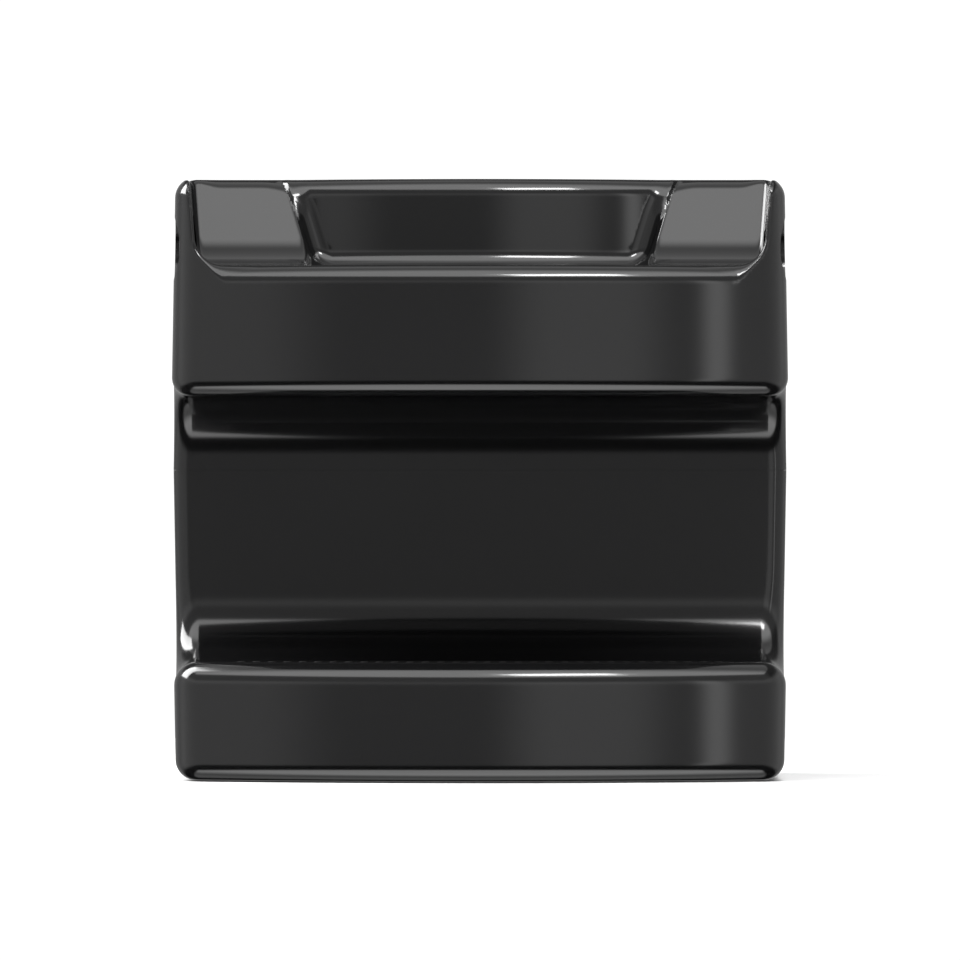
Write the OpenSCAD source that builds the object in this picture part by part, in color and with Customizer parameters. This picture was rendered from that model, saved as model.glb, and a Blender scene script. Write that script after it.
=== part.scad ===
// Horse mounting block: a hollow black moulding with a foothold channel right
// through its front, a scooped hand recess in its top and a finger hole in each cheek.
// +Z up, the bowed front faces -Y, and the origin is the middle of the footprint.

/* [Overall] */
// Width at the joint between the two shells
body_w = 462; // [440:1:560]
// Height from the floor to the top step
body_h = 450; // [430:1:560]
// Depth from the middle of the bowed front to the back
body_d = 380; // [350:1:460]
// Height of the joint between the two shells
joint_z = 232; // [215:1:250]

/* [Moulding] */
// Wall of both shells
wall = 6; // [5:0.5:7]
// Thickness of the deck round the base opening
base_wall = 8; // [7:0.5:10]
// Draft of the side walls, each way from the joint
draft = 1; // [0:0.25:1.5]
// Radius of the bowed front, in plan
bow_r = 450; // [400:10:600]
// Radius of the upright corners
corner_r = 26; // [20:1:32]
// Radius of the top, bottom and lip edges
edge_r = 15; // [12:1:18]

/* [Foothold channel] */
// Height of the channel's floor
channel_floor = 89; // [80:1:100]
// Height of the channel itself
channel_h = 198; // [170:1:200]
// Depth from the middle of the front to the channel's back wall
channel_d = 175; // [150:1:185]
// Radius of the hollow corners at the back of the channel
channel_r = 52; // [35:1:60]
// Radius of the back wall's upright ends
channel_end_r = 14; // [10:1:18]

/* [Top scoop] */
// Depth of the scoop below the top step
scoop_h = 66; // [56:1:72]
// Thickness of each cheek at the top
cheek = 10.6; // [9:0.2:16]
// Slant of the cheeks' inner faces
scoop_slant = 5; // [3:0.5:8]
// Radius of the corners along the floor of the scoop
scoop_corner_r = 18; // [14:1:22]
// Distance from the middle of the front to the start of the ramps
ramp_start = 70; // [60:1:80]
// Tilt of the two ramps away from upright
ramp_tilt = 37; // [32:1:42]
// Radius of the hollow at the foot of the ramps
ramp_foot_r = 57; // [45:1:60]
// Radius of the ramps' top edge
ramp_top_r = 19; // [14:1:20]
// Width at the top of the deeper cut between the ramps
grip_w = 288; // [250:2:310]
// Slant of the deeper cut's sides
grip_slant = 16.7; // [10:0.1:18]
// Distance from the middle of the front to the rounded grip wall
grip_d = 108; // [100:1:114]
// Radius of the rounded grip wall, in plan
grip_r = 292; // [270:1:330]
// Radius of the grip wall's top and bottom fillets
grip_edge_r = 14; // [10:1:16]

/* [Finger holes] */
// Diameter of the hole in each cheek
finger_d = 52; // [46:1:54]
// Distance from the middle of the front to the hole's centre
finger_back = 92; // [88:1:98]
// Height of the hole's centre above the floor of the scoop
finger_up = 13; // [11:1:16]
// Radial thickness of the rubber ring that lines each hole
ring_wall = 4; // [3:0.5:6]

/* [Treads] */
// Thickness of the rubber treads, which lie flush in their pockets
tread_t = 3; // [2:0.25:3]
// Width of the top tread
tread_w = 380; // [340:2:390]
// Front edge of the top tread, behind the middle of the front
tread_front = 175; // [170:1:190]
// Margin between a tread and the edge beside it
tread_margin = 10; // [8:1:14]

/* [Ribs and tie rods] */
// Thickness of each rib plate
rib_t = 8; // [6:1:12]
// Spacing of the rib plates
rib_pitch = 105; // [98:1:112]
// Diameter of the lightening holes in the rib plates
rib_hole_d = 58; // [30:1:64]
// Diameter of the tie rods
rod_d = 8; // [6:1:10]
// Thickness of the tie-rod washers
washer_t = 1.6; // [1:0.2:2.5]
// Thickness of the tie-rod nuts
nut_t = 6.5; // [5:0.5:8]
// Diameter of the spacer tubes on the tie rods
tube_d = 16; // [14:1:20]

/* [Base] */
// Width of the opening in the base
opening_w = 300; // [280:2:304]
// Depth of the opening in the base
opening_d = 270; // [240:2:274]
// Overlap of the base cover on the deck round the opening
cover_lap = 12; // [11:0.5:13]
// Thickness of the base cover
cover_t = 3.5; // [2.5:0.25:4]
// Diameter of the rubber feet
foot_d = 32; // [26:1:34]
// Thickness of the rubber feet
foot_t = 5; // [4:0.25:5]
// How far the feet stand proud of the base
foot_proud = 1; // [0.5:0.25:1.5]

/* [Fasteners] */
// Diameter of the screws that join the shells
joint_screw_d = 5; // [4:0.5:6]
// Length of the screws that join the shells
joint_screw_l = 30; // [28:1:32]
// Diameter of the base cover and foot screws
base_screw_d = 4; // [3:0.5:4.5]
// Length of the base cover and foot screws
base_screw_l = 14; // [12:1:16]
// Diameter of the locating pins
pin_d = 6; // [5:1:8]
// Length of the locating pins
pin_l = 24; // [20:1:30]
// Clearance between pieces that fit together
fit = 0.2; // [0.1:0.05:0.3]

/* [Hidden] */
$fn = 96;
big = 1000;
slip = 0.05;

shell_black = "#1b1c1e";
rubber_black = "#26282a";
rib_grey = "#6d7175";
steel = "#b9bdc2";
brass = "#b89a52";

half_w = body_w / 2;
front_y = -body_d / 2;
back_y = body_d / 2;
base_z = foot_proud;
top_z = body_h;
bow_y = front_y + bow_r;
core_y = front_y + channel_d;
channel_roof = channel_floor + channel_h;
scoop_floor = body_h - scoop_h;
scoop_half = half_w - (body_h - joint_z) * tan(draft) - cheek;
ramp_y = front_y + ramp_start;
grip_axis_y = front_y + grip_d + grip_r;
finger_y = front_y + finger_back;
finger_z = scoop_floor + finger_up;

// Upright front corner: its centre, and where its arc meets the bow
corner_x = half_w - corner_r;
corner_y = bow_y - sqrt(pow(bow_r - corner_r, 2) - pow(corner_x, 2));

// Joint screws stand in two rows that a driver reaches through the base opening
boss_r = joint_screw_d / 2 + 5.5;
opening_y = back_y - 31 - opening_d / 2 - cover_lap + 9;
joint_screw_x = [-1.43 * rib_pitch, -rib_pitch / 2, rib_pitch / 2, 1.43 * rib_pitch];
joint_screw_y = [core_y + wall + boss_r - 2, opening_y + opening_d / 2 - boss_r];
lower_boss_h = 18;
screw_head_h = 4;
insert_r = joint_screw_d / 2 + 1;
insert_l = 10;
insert_hole_l = joint_screw_l - lower_boss_h + 4;
upper_boss_h = insert_hole_l + 4;
pin_x = half_w - wall - pin_d / 2 - 1.5;
pin_y = (core_y + back_y) / 2;
pin_boss_r = pin_d / 2 + 4;

// Gasket in the rim of the lower shell
gasket_w = 1.8;
gasket_t = 1.5;
gasket_inset = (wall - gasket_w) / 2;

// Tie rods, as [y, z]: two in front of the channel's back wall, two behind it
rod_front_y = ramp_y + 25;
rod_back_y = core_y + 135;
rods = [
    [rod_front_y, (base_z + base_wall + channel_floor - wall) / 2],
    [rod_back_y, channel_floor - 19],
    [rod_front_y, (channel_roof + scoop_floor) / 2],
    [rod_back_y, top_z - 55]
];
rib_x = [-rib_pitch, 0, rib_pitch];
rib_hole_y = (core_y + back_y) / 2;
rib_hole_z = [channel_floor + 61, joint_z, channel_roof + 23];
rod_grip = 2 * rib_pitch + rib_t;
rod_l = rod_grip + 2 * (washer_t + nut_t + 3);
washer_r = rod_d;
nut_r = rod_d * 0.81;

// Base opening, its cover's screws and the feet
cover_w = opening_w + 2 * cover_lap;
cover_d = opening_d + 2 * cover_lap;
cover_r = 14;
cover_screws = concat(
    [for (side = [-1, 1], step = [-1, 0, 1])
        [side * (opening_w + cover_lap) / 2, opening_y + step * opening_d * 0.4]],
    [for (side = [-1, 1], end = [-1, 1])
        [side * rib_pitch / 2, opening_y + end * (opening_d + cover_lap) / 2]]
);
head_r = base_screw_d;
head_t = 2;
base_boss_r = base_screw_d / 2 + 2.5;
foot_x = cover_w / 2 + foot_d / 2 + 8;
feet = [for (side = [-1, 1], y = [front_y + 92, back_y - 42]) [side * foot_x, y]];
foot_boss_z = base_z + foot_t - foot_proud;

function unit(v) = v / norm(v);
function half_angle(before, at, after) = acos(unit(before - at) * unit(after - at)) / 2;
function draft_half(z) = half_w - abs(z - joint_z) * tan(draft);
function bottom_inset(inset) = inset > 0 ? inset + base_wall - wall : 0;

// Outline through the given corners, each rounded outwards by its own radius
module rounded(corners, radii) {
    last = len(corners) - 1;
    function before(i) = corners[i == 0 ? last : i - 1];
    function after(i) = corners[i == last ? 0 : i + 1];
    polygon([for (i = [0 : last])
        let (at = corners[i],
            reach = radii[i] / tan(half_angle(before(i), at, after(i))))
        each (radii[i] == 0 ? [at]
            : [at + unit(before(i) - at) * reach, at + unit(after(i) - at) * reach])]);
    for (i = [0 : last])
        if (radii[i] > 0)
            translate(corners[i] + unit(unit(before(i) - corners[i]) + unit(after(i) - corners[i]))
                * radii[i] / sin(half_angle(before(i), corners[i], after(i))))
                circle(r = radii[i]);
}

// Extrusions of a side view (y, z) along X and of a front view (x, z) along Y
module along_x(from, to) {
    translate([from, 0, 0])
        rotate([90, 0, 90])
            linear_extrude(to - from) children();
}
module along_y(from, to) {
    translate([0, to, 0])
        rotate([90, 0, 0])
            linear_extrude(to - from) children();
}
module rod_x(r, from, to) {
    translate([from, 0, 0])
        rotate([0, 90, 0])
            cylinder(r = r, h = to - from);
}

// Plan of the two blocks above and below the channel, with the bowed front
module block_plan(inset) {
    tangent_x = corner_x * (bow_r - inset) / (bow_r - corner_r);
    intersection() {
        translate([0, bow_y]) circle(r = bow_r - inset, $fn = 360);
        translate([-tangent_x, -big]) square([2 * tangent_x, big + corner_y]);
    }
    rounded(
        [[-half_w + inset, corner_y], [half_w - inset, corner_y],
            [half_w - inset, back_y - inset], [-half_w + inset, back_y - inset]],
        [0, 0, corner_r - inset, corner_r - inset]);
    for (side = [-1, 1])
        translate([side * corner_x, corner_y]) circle(r = corner_r - inset);
}

// Plan of the core behind the channel
module core_plan(inset) {
    rounded(
        [[-half_w + inset, core_y + inset], [half_w - inset, core_y + inset],
            [half_w - inset, back_y - inset], [-half_w + inset, back_y - inset]],
        [channel_end_r - inset, channel_end_r - inset, corner_r - inset, corner_r - inset]);
}

// A slab turned about the bow's axis, so that its edges are rounded along the bow
module bow_slab(from, to, inset) {
    reach = bow_r - inset;
    round_r = edge_r - inset;
    translate([0, bow_y, 0])
        rotate_extrude($fn = 360)
            rounded([[0, from], [reach, from], [reach, to], [0, to]], [0, round_r, round_r, 0]);
}

// Hollow corner where the channel's back wall meets its floor or roof
module channel_fillet(inset, floor_z, up) {
    centre_y = core_y - channel_r;
    centre_z = floor_z + up * channel_r;
    along_x(-big, big)
        difference() {
            translate([centre_y, up > 0 ? floor_z - inset : centre_z])
                square([channel_r + inset + 1, channel_r + inset]);
            translate([centre_y, centre_z]) circle(r = channel_r + inset);
        }
}

// The whole block, every face moved inwards by inset
module block(inset) {
    low = base_z + bottom_inset(inset);
    high = top_z - inset;
    intersection() {
        union() {
            intersection() {
                union() {
                    bow_slab(low, channel_floor - inset, inset);
                    bow_slab(channel_roof + inset, high, inset);
                }
                translate([0, 0, low - 1]) linear_extrude(high - low + 2) block_plan(inset);
            }
            intersection() {
                union() {
                    channel_fillet(inset, channel_floor, 1);
                    channel_fillet(inset, channel_roof, -1);
                }
                translate([0, 0, low - 1]) linear_extrude(high - low + 2) block_plan(inset);
            }
            translate([0, 0, low]) linear_extrude(high - low) core_plan(inset);
        }
        along_y(-big, big)
            rounded(
                [[-draft_half(low) + inset, low], [draft_half(low) - inset, low],
                    [half_w - inset, joint_z], [draft_half(high) - inset, high],
                    [-draft_half(high) + inset, high], [-half_w + inset, joint_z]],
                [edge_r - inset, edge_r - inset, 0, edge_r - inset, edge_r - inset, 0]);
        along_x(-big, big)
            rounded(
                [[-big, low], [back_y - inset, low], [back_y - inset, high], [-big, high]],
                [0, edge_r - inset, edge_r - inset, 0]);
    }
}

// Trough with slanting sides, as a front view, grown by outset
module trough(half_top, slant, outset) {
    low = scoop_floor - outset;
    high = top_z + 20;
    function half_at(z) = half_top - (top_z - z) * tan(slant) + outset / cos(slant);
    corner = scoop_corner_r + outset;
    rounded([[-half_at(high), high], [-half_at(low), low], [half_at(low), low],
        [half_at(high), high]], [0, corner, corner, 0]);
}

// Side view of the ramps, moved back by outset
module ramp_profile(outset) {
    both_r = ramp_foot_r + ramp_top_r;
    flat_l = (top_z - scoop_floor - both_r * (1 - sin(ramp_tilt))) / cos(ramp_tilt);
    top_y = ramp_y + both_r * cos(ramp_tilt) + flat_l * sin(ramp_tilt);
    inward = [cos(ramp_tilt), -sin(ramp_tilt)];
    foot_centre = [ramp_y, scoop_floor + ramp_foot_r];
    top_centre = [top_y, top_z - ramp_top_r];
    low = scoop_floor - outset;
    difference() {
        polygon([[ramp_y, low], foot_centre + inward * (ramp_foot_r + outset),
            top_centre - inward * (ramp_top_r - outset), [top_y, top_z - outset],
            [back_y, top_z - outset], [back_y, low - 5], [ramp_y, low - 5]]);
        translate(foot_centre) circle(r = ramp_foot_r + outset);
    }
    translate(top_centre) circle(r = ramp_top_r - outset);
}

// The rounded grip wall between the ramps
module grip_wall(outset) {
    low = scoop_floor - outset;
    reach = grip_r - outset;
    flare = grip_edge_r + outset;
    translate([0, grip_axis_y, 0])
        rotate_extrude($fn = 360) {
            rounded([[0, low - 5], [reach, low - 5], [reach, top_z - outset], [0, top_z - outset]],
                [0, 0, grip_edge_r - outset, 0]);
            difference() {
                translate([reach - 1, low - 5]) square([flare + 1, flare + 5]);
                translate([reach + flare, low + flare]) circle(r = flare);
            }
        }
}

// Space of the scoop in the top, grown by outset
module scoop(outset) {
    lip_half = scoop_half - scoop_h * tan(scoop_slant) - scoop_corner_r;
    difference() {
        along_y(-big, back_y - wall - 1) trough(scoop_half, scoop_slant, outset);
        grip_wall(outset);
        difference() {
            along_x(-half_w, half_w) ramp_profile(outset);
            along_y(-big, back_y) trough(grip_w / 2, grip_slant, outset);
        }
    }
    difference() {
        translate([-lip_half, -big, scoop_floor - edge_r])
            cube([2 * lip_half, big + ramp_y - 20, edge_r + 5]);
        bow_slab(channel_roof, scoop_floor - outset, outset);
    }
}

// Place for a ring, its hole or its boss in one cheek
module finger_cylinder(side, r, from, to) {
    mirror([side < 0 ? 1 : 0, 0, 0])
        translate([0, finger_y, finger_z])
            rod_x(r, from, to);
}

// The closed hollow inside both shells
module cavity(inset) {
    difference() {
        block(inset);
        scoop(inset);
        for (side = [-1, 1])
            finger_cylinder(side, finger_d / 2 + inset, scoop_half - 13 - inset, half_w);
    }
}

module joint_screw_places() {
    for (x = joint_screw_x, y = joint_screw_y)
        translate([x, y, joint_z]) children();
}
module pin_places() {
    for (side = [-1, 1])
        translate([side * pin_x, pin_y, joint_z]) children();
}
module cover_screw_places() {
    for (place = cover_screws)
        translate([place[0], place[1], base_z]) children();
}
module foot_places() {
    for (place = feet)
        translate([place[0], place[1], 0]) children();
}

// Bosses on one side of the joint: up is 1 for the upper shell, -1 for the lower
module joint_bosses(up, h) {
    low = up > 0 ? 0 : -h;
    joint_screw_places() translate([0, 0, low]) cylinder(r = boss_r, h = h);
    pin_places() translate([0, 0, up > 0 ? 0 : -pin_l / 2 - 3])
        cylinder(r = pin_boss_r, h = pin_l / 2 + 3);
    for (x = joint_screw_x)
        translate([x - wall / 2, joint_screw_y[1], joint_z + low])
            cube([wall, back_y - wall - joint_screw_y[1] + 1, h]);
}

module top_tread_plan(grow) {
    low = front_y + tread_front - grow;
    high = back_y - edge_r - tread_margin + grow;
    half = tread_w / 2 + grow;
    rounded([[-half, low], [half, low], [half, high], [-half, high]], [12, 12, 12, 12]);
}
module foothold_tread_plan(grow) {
    half = tread_w / 2 + grow;
    intersection() {
        translate([0, bow_y])
            circle(r = bow_r - edge_r - tread_margin + grow, $fn = 360);
        translate([-half, -big])
            square([2 * half, big + core_y - channel_r - 4 + grow]);
    }
}

module upper_shell() {
    color(shell_black)
        difference() {
            union() {
                intersection() {
                    difference() {
                        block(0);
                        scoop(0);
                        cavity(wall);
                    }
                    translate([-big, -big, joint_z]) cube([2 * big, 2 * big, big]);
                }
                joint_bosses(1, upper_boss_h);
            }
            joint_screw_places() translate([0, 0, -1]) cylinder(r = insert_r, h = insert_hole_l + 1);
            pin_places() translate([0, 0, -1]) cylinder(r = pin_d / 2 + slip, h = pin_l / 2 + 1.5);
            translate([0, 0, top_z - tread_t]) linear_extrude(tread_t + 1) top_tread_plan(fit);
            for (side = [-1, 1])
                finger_cylinder(side, finger_d / 2, scoop_half - 7, half_w + 1);
        }
}

module lower_shell() {
    color(shell_black)
        difference() {
            union() {
                intersection() {
                    difference() {
                        block(0);
                        cavity(wall);
                    }
                    translate([-big, -big, joint_z - big]) cube([2 * big, 2 * big, big]);
                }
                joint_bosses(-1, lower_boss_h);
                cover_screw_places() cylinder(r = base_boss_r, h = base_screw_l + 3);
                foot_places() translate([0, 0, foot_boss_z])
                    cylinder(r = base_boss_r, h = base_screw_l + 1);
            }
            joint_screw_places() translate([0, 0, -lower_boss_h - 1])
                cylinder(r = joint_screw_d / 2 + fit, h = lower_boss_h + 2);
            pin_places() translate([0, 0, -pin_l / 2 - 0.5])
                cylinder(r = pin_d / 2 + slip, h = pin_l / 2 + 1.5);
            translate([0, 0, joint_z - gasket_t])
                linear_extrude(gasket_t + 1)
                    difference() {
                        core_plan(gasket_inset);
                        core_plan(gasket_inset + gasket_w);
                    }
            translate([0, 0, channel_floor - tread_t])
                linear_extrude(tread_t + 1) foothold_tread_plan(fit);
            translate([0, opening_y, -1]) linear_extrude(base_z + base_wall + 2)
                cover_outline(-cover_lap);
            translate([0, opening_y, -1]) linear_extrude(base_z + 1 + cover_t + fit)
                cover_outline(fit);
            cover_screw_places() translate([0, 0, -1])
                cylinder(r = base_screw_d / 2 + slip, h = base_screw_l + 1.5);
            foot_places() translate([0, 0, -1]) cylinder(r = foot_d / 2 + fit, h = foot_boss_z + 1);
            foot_places() cylinder(r = base_screw_d / 2 + slip, h = foot_boss_z + base_screw_l - 2);
        }
}

module seam_gasket() {
    color(rubber_black)
        translate([0, 0, joint_z - gasket_t])
            linear_extrude(gasket_t)
                difference() {
                    core_plan(gasket_inset);
                    core_plan(gasket_inset + gasket_w);
                }
}

module locating_pins() {
    color(steel)
        pin_places() translate([0, 0, -pin_l / 2]) cylinder(r = pin_d / 2, h = pin_l);
}

// Cap screws driven upwards from inside the lower shell
module shell_screws() {
    color(steel)
        joint_screw_places() translate([0, 0, -lower_boss_h]) {
            cylinder(r = joint_screw_d / 2, h = joint_screw_l);
            translate([0, 0, -screw_head_h])
                difference() {
                    cylinder(r = joint_screw_d * 0.85, h = screw_head_h);
                    translate([0, 0, -1]) cylinder(r = joint_screw_d * 0.46, h = 3.5, $fn = 6);
                }
        }
}

module shell_inserts() {
    color(brass)
        joint_screw_places()
            difference() {
                cylinder(r = insert_r, h = insert_l);
                translate([0, 0, -1]) cylinder(r = joint_screw_d / 2 + slip, h = insert_l + 2);
            }
}

// Rib plate: the hollow's own section, less the rod holes and lightening holes
module rib(x) {
    color(rib_grey)
        difference() {
            intersection() {
                cavity(wall + fit);
                translate([x - rib_t / 2, -big, 0]) cube([rib_t, 2 * big, big]);
            }
            for (rod = rods)
                translate([0, rod[0], rod[1]])
                    rod_x(rod_d / 2 + slip, x - rib_t, x + rib_t);
            for (z = rib_hole_z)
                translate([0, rib_hole_y, z])
                    rod_x(rib_hole_d / 2, x - rib_t, x + rib_t);
        }
}
module left_rib() { rib(rib_x[0]); }
module centre_rib() { rib(rib_x[1]); }
module right_rib() { rib(rib_x[2]); }

module tie_rods() {
    color(steel)
        for (rod = rods)
            translate([0, rod[0], rod[1]]) rod_x(rod_d / 2, -rod_l / 2, rod_l / 2);
}

module spacer_tubes() {
    color(steel)
        for (rod = rods, side = [-1, 0])
            translate([side * rib_pitch + rib_t / 2, rod[0], rod[1]])
                difference() {
                    rod_x(tube_d / 2, 0, rib_pitch - rib_t);
                    rod_x(rod_d / 2 + fit, -1, rib_pitch);
                }
}

module tie_rod_washers() {
    color(steel)
        for (rod = rods, side = [-1, 1])
            translate([side * (rod_grip + washer_t) / 2, rod[0], rod[1]])
                difference() {
                    rod_x(washer_r, -washer_t / 2, washer_t / 2);
                    rod_x(rod_d / 2 + fit, -washer_t, washer_t);
                }
}

module tie_rod_nuts() {
    color(steel)
        for (rod = rods, side = [-1, 1])
            translate([side * (rod_grip / 2 + washer_t + nut_t / 2), rod[0], rod[1]])
                difference() {
                    rotate([0, 90, 0]) cylinder(r = nut_r, h = nut_t, center = true, $fn = 6);
                    rod_x(rod_d / 2 + slip, -nut_t, nut_t);
                }
}

module top_tread() {
    color(rubber_black)
        translate([0, 0, top_z - tread_t]) linear_extrude(tread_t) top_tread_plan(0);
}

module foothold_tread() {
    color(rubber_black)
        translate([0, 0, channel_floor - tread_t])
            linear_extrude(tread_t) foothold_tread_plan(0);
}

module finger_ring(side) {
    color(rubber_black)
        difference() {
            finger_cylinder(side, finger_d / 2 - slip, scoop_half - 2.2, half_w - 7);
            finger_cylinder(side, finger_d / 2 - ring_wall, scoop_half - 5, half_w);
        }
}
module left_finger_ring() { finger_ring(-1); }
module right_finger_ring() { finger_ring(1); }

module cover_outline(grow) {
    half = [cover_w / 2 + grow, cover_d / 2 + grow];
    corner = cover_r + grow;
    rounded([[-half[0], -half[1]], [half[0], -half[1]], [half[0], half[1]], [-half[0], half[1]]],
        [corner, corner, corner, corner]);
}

module countersunk(clearance) {
    cylinder(r1 = head_r + clearance, r2 = base_screw_d / 2 + clearance, h = head_t);
}

module base_cover() {
    color(shell_black)
        difference() {
            translate([0, opening_y, base_z]) linear_extrude(cover_t) cover_outline(0);
            cover_screw_places() countersunk(slip);
            cover_screw_places() translate([0, 0, -1])
                cylinder(r = base_screw_d / 2 + slip, h = cover_t + 2);
        }
}

module base_cover_screws() {
    color(steel)
        cover_screw_places() {
            countersunk(0);
            cylinder(r = base_screw_d / 2, h = base_screw_l);
        }
}

module rubber_feet() {
    color(rubber_black)
        foot_places()
            difference() {
                cylinder(r = foot_d / 2, h = foot_t);
                translate([0, 0, -1]) cylinder(r = head_r + 1, h = head_t + 1.5);
                translate([0, 0, -1]) cylinder(r = base_screw_d / 2 + slip, h = foot_t + 2);
            }
}

module foot_screws() {
    color(steel)
        foot_places() {
            translate([0, 0, 0.5]) cylinder(r = head_r, h = head_t);
            cylinder(r = base_screw_d / 2, h = 0.5 + head_t + base_screw_l);
        }
}

upper_shell();
lower_shell();
seam_gasket();
locating_pins();
shell_screws();
shell_inserts();
left_rib();
centre_rib();
right_rib();
tie_rods();
spacer_tubes();
tie_rod_washers();
tie_rod_nuts();
top_tread();
foothold_tread();
left_finger_ring();
right_finger_ring();
base_cover();
base_cover_screws();
rubber_feet();
foot_screws();
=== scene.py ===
"""Horse mounting block in black gloss plastic: two shells, what joins them, treads, rings and feet."""
import math

import bmesh
import bpy
import numpy as np
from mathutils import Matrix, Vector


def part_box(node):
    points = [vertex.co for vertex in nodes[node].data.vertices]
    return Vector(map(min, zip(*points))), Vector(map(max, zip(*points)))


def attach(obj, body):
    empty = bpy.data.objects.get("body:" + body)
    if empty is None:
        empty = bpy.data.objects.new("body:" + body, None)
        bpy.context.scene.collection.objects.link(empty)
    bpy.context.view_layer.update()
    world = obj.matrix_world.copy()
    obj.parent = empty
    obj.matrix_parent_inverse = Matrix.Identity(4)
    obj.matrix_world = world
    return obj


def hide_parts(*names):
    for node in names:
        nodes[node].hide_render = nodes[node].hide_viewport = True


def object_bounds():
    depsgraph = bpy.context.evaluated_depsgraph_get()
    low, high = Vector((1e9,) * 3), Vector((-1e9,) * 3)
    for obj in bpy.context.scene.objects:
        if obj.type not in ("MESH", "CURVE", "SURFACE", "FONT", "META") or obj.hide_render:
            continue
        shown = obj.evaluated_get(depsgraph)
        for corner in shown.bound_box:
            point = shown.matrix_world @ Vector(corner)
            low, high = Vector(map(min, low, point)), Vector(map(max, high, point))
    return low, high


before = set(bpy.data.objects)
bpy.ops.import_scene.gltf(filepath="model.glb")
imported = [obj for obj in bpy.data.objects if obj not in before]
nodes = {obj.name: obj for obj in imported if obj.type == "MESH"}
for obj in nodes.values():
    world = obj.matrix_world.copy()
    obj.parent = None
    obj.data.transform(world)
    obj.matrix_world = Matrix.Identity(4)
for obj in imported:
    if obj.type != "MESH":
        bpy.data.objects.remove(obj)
cad_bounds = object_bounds()


# ---------------------------------------------------------------- the two shells
# The block is two hollow mouldings in black gloss plastic, each drafted away from
# the joint where they meet, just above the middle of the foothold channel. Every edge
# is rolled, so the form is built as one rounded solid and then parted at the joint.

lower_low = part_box("lower_shell")[0]
upper_low, upper_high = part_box("upper_shell")
tread_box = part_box("foothold_tread")
ring_low, ring_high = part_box("right_finger_ring")

half_width = upper_high[0]
front_y = cad_bounds[0][1]
back_y = upper_high[1]
base_z = lower_low[2]
top_z = upper_high[2]
joint_z = upper_low[2]
bow_radius = 0.450
bow_y = front_y + bow_radius
draft = math.radians(1.0)
corner_radius = 0.026
front_corner_radius = 0.0175
edge_radius = 0.015
wall = 0.006
deck = 0.008

channel_height = 0.198
channel_depth = 0.175
channel_floor = tread_box[1][2]
channel_roof = channel_floor + channel_height
channel_back = front_y + channel_depth
channel_radius = 0.052
channel_end_radius = 0.014
lip_radius = 0.018
lip_from_z, lip_to_z = 0.160, 0.110

scoop_depth = 0.066
cheek_top = 0.0106
scoop_floor = top_z - scoop_depth
scoop_half = half_width - (top_z - joint_z) * math.tan(draft) - cheek_top
scoop_slant = math.radians(5.0)
scoop_corner_radius = 0.020
cheek_radius = 0.0056
cheek_edge_radius = 0.0038
ramp_tilt = math.radians(37.0)
ramp_start = front_y + 0.070
ramp_foot_radius = 0.057
ramp_top_radius = 0.0078
grip_half = 0.144
grip_slant = math.radians(16.7)
grip_radius = 0.292
grip_front = front_y + 0.108
grip_edge_radius = 0.014
grip_side_radius = 0.015
finger_radius = 0.026
finger_y = (ring_low[1] + ring_high[1]) / 2
finger_z = (ring_low[2] + ring_high[2]) / 2


def step(value, low, high):
    """Smooth step from 0 at low to 1 at high."""
    t = np.clip((value - low) / (high - low), 0.0, 1.0)
    return t * t * (3.0 - 2.0 * t)


def rolled(a, b, radius):
    """Inside both a and b, with the edge between them rolled to the radius."""
    reach = np.hypot(np.maximum(a + radius, 0.0), np.maximum(b + radius, 0.0))
    return np.minimum(np.maximum(a, b), -radius) + reach


def filleted(a, b, radius):
    """Inside a or b, with the hollow corner between them filled to the radius."""
    return -rolled(-a, -b, radius)


def ramp_form(y, z):
    """Distance to the floor of the scoop, the fillet at the foot of a ramp and the ramp itself."""
    foot_y, foot_z = ramp_start, scoop_floor + ramp_foot_radius
    plane = (-(y - foot_y) * math.cos(ramp_tilt) + (z - foot_z) * math.sin(ramp_tilt)
             + ramp_foot_radius)
    foot = ramp_foot_radius - np.hypot(y - foot_y, z - foot_z)
    turn = np.arctan2(y - foot_y, foot_z - z)
    past = (turn > math.pi / 2 - ramp_tilt) | (z > foot_z)
    return np.where(y < foot_y, z - scoop_floor, np.where(past, plane, foot))


def scoop_material(x, y, z):
    """Distance to what is left in the top by the scoop: floor, cheeks, ramps and grip wall."""
    side = np.abs(x)
    cheek = -(side - scoop_half + (top_z - z) * math.tan(scoop_slant)) * math.cos(scoop_slant)
    cut = (side - grip_half + (top_z - z) * math.tan(grip_slant)) * math.cos(grip_slant)
    floor = z - scoop_floor
    grip = np.hypot(x, y - grip_front - grip_radius) - grip_radius
    up_ramp = ramp_form(y, z) + np.maximum(ramp_start - y, 0.0)
    in_cut = 1.0 - step(cut, 0.0, 0.006)
    walls = filleted(rolled(up_ramp, -cut, cheek_radius), grip, grip_side_radius * in_cut)
    foot = grip_edge_radius * in_cut * step(y, ramp_start, ramp_start + 0.026)
    inner = filleted(walls, floor, foot)
    along = step(y, ramp_start, ramp_start + 0.030)
    corner = scoop_corner_radius + (cheek_radius - scoop_corner_radius) * along
    material = filleted(inner, cheek, corner)
    # How far each top edge is rolled
    back_roll = grip_edge_radius + (ramp_top_radius - grip_edge_radius) * step(cut, -0.010, 0.020)
    front_share = step(-y, -ramp_start, -ramp_start + 0.030)
    roll = back_roll + (edge_radius - back_roll) * front_share
    roll = cheek_edge_radius + (roll - cheek_edge_radius) * step(cheek, 0.004, 0.022)
    return material, roll


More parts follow.
